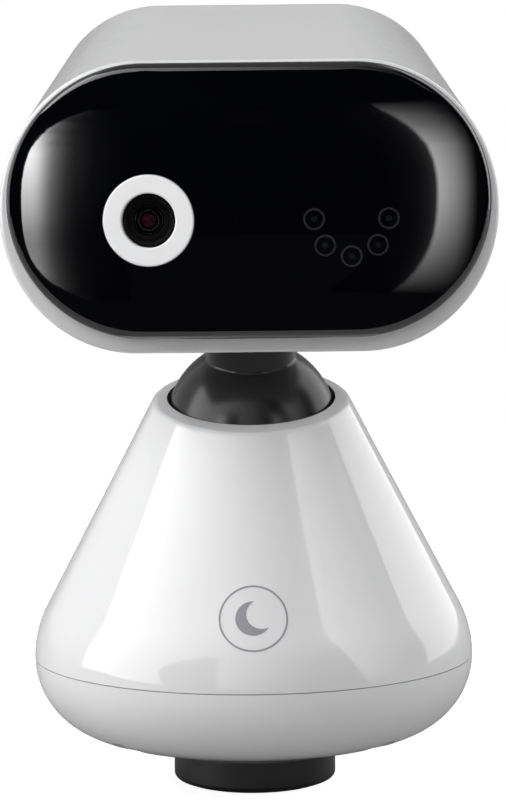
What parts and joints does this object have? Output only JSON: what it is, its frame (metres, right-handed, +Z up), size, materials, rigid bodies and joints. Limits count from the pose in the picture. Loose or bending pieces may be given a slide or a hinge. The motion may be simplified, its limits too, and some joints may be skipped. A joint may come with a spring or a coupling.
{
  "type": "baby monitor camera",
  "caption": "Baby monitor camera: domed black visor in a stadium-shaped white head on a ball neck, on a cone base that pans over a rounded bowl with a threaded foot.",
  "frame": {"origin": "centre of the tripod socket's axis on the plane that the foot rests on", "axes": "+Z up along the pan axis, -Y the way the camera looks, +X to the object's right as seen from the front"},
  "size_m": [0.0784, 0.073, 0.1296],
  "materials": {
    "shell_white": "glossy white moulded ABS",
    "visor_black": "polished black",
    "window_dark": "infrared-clear dark acrylic",
    "neck_black": "satin black",
    "foot_black": "satin black",
    "emblem_grey": "thin grey inlay",
    "ring_white": "bright white ring",
    "inner_black": "matte black inner parts",
    "inner_grey": "grey chassis plastic",
    "rubber_black": "soft rubber",
    "brass": "turned brass",
    "steel": "zinc plated steel",
    "board_green": "printed circuit board",
    "chip_black": "moulded chip package",
    "lens_glass": "coated lens glass",
    "led_clear": "clear epoxy lamp",
    "heat_black": "bead blasted",
    "nylon": "natural acetal"
  },
  "bodies": {
    "base": {"base_bowl": "shell_white", "tripod_foot": "foot_black", "foot_pad": "rubber_black", "tripod_insert": "brass", "ballast_ring": "steel", "base_chassis": "inner_grey", "base_screws": "steel", "ring_gear": "nylon", "thrust_washer": "nylon", "power_board": "board_green", "power_board_screws": "steel", "usb_socket": "steel", "power_switch": "chip_black"},
    "turret": {"cone_shell": "shell_white", "emblem": "emblem_grey", "turntable": "inner_grey", "retaining_clip": "steel", "cone_screws": "steel", "pan_motor": "steel", "motor_screws": "steel", "tilt_post": "inner_grey", "post_screws": "steel", "ball_socket": "inner_black", "socket_screws": "steel"},
    "pinion": {"motor_shaft": "steel", "motor_pinion": "nylon"},
    "head": {"neck_ball": "neck_black", "tilt_axle": "steel", "head_shell": "shell_white", "neck_plate": "steel", "neck_screws": "steel", "rear_cover": "shell_white", "rear_cover_screws": "steel", "speaker_gasket": "rubber_black", "speaker": "inner_black", "microphone": "steel", "button_board": "board_green", "pair_switch": "chip_black", "front_cover": "visor_black", "led_windows": "window_dark", "light_sensor_window": "window_dark", "status_window": "window_dark", "lens_ring": "ring_white", "camera_bracket": "inner_black", "board_screws": "steel", "sensor_board": "board_green", "image_sensor": "chip_black", "lens_holder": "inner_black", "lens_barrel": "inner_black", "lens_glass": "lens_glass", "led_board": "board_green", "ir_leds": "led_clear", "light_sensor": "chip_black", "status_led": "led_clear", "main_board": "board_green", "radio_shield": "steel", "heat_sink": "heat_black", "antenna": "brass"},
    "power_button": {"power_button": "shell_white"},
    "pair_button": {"pair_button": "shell_white"}
  },
  "joints": [
    {"name": "pan", "type": "hinge", "parent": "base", "child": "turret", "pos_m": [0, 0, 0.0213], "axis": [0, 0, 1], "range_deg": [-175, 175]},
    {"name": "pinion_spin", "type": "hinge", "parent": "turret", "child": "pinion", "pos_m": [0, 0.0192, 0.0208], "axis": [0, 0, 1], "range_deg": [-530, 530]},
    {"name": "tilt", "type": "hinge", "parent": "turret", "child": "head", "pos_m": [0, 0, 0.05945], "axis": [1, 0, 0], "range_deg": [-30, 25]},
    {"name": "power_press", "type": "slide", "parent": "base", "child": "power_button", "axis": [0, -1, 0], "range_m": [0, 0.0008], "stiffness_N_per_m": 400, "springref_m": -0.0004},
    {"name": "pair_press", "type": "slide", "parent": "head", "child": "pair_button", "axis": [0, -0.9511, -0.309], "range_m": [0, 0.0007], "stiffness_N_per_m": 400, "springref_m": -0.0004}
  ],
  "couplings": [
    {"joint": "pinion_spin", "follows": "pan", "ratio": 3}
  ]
}
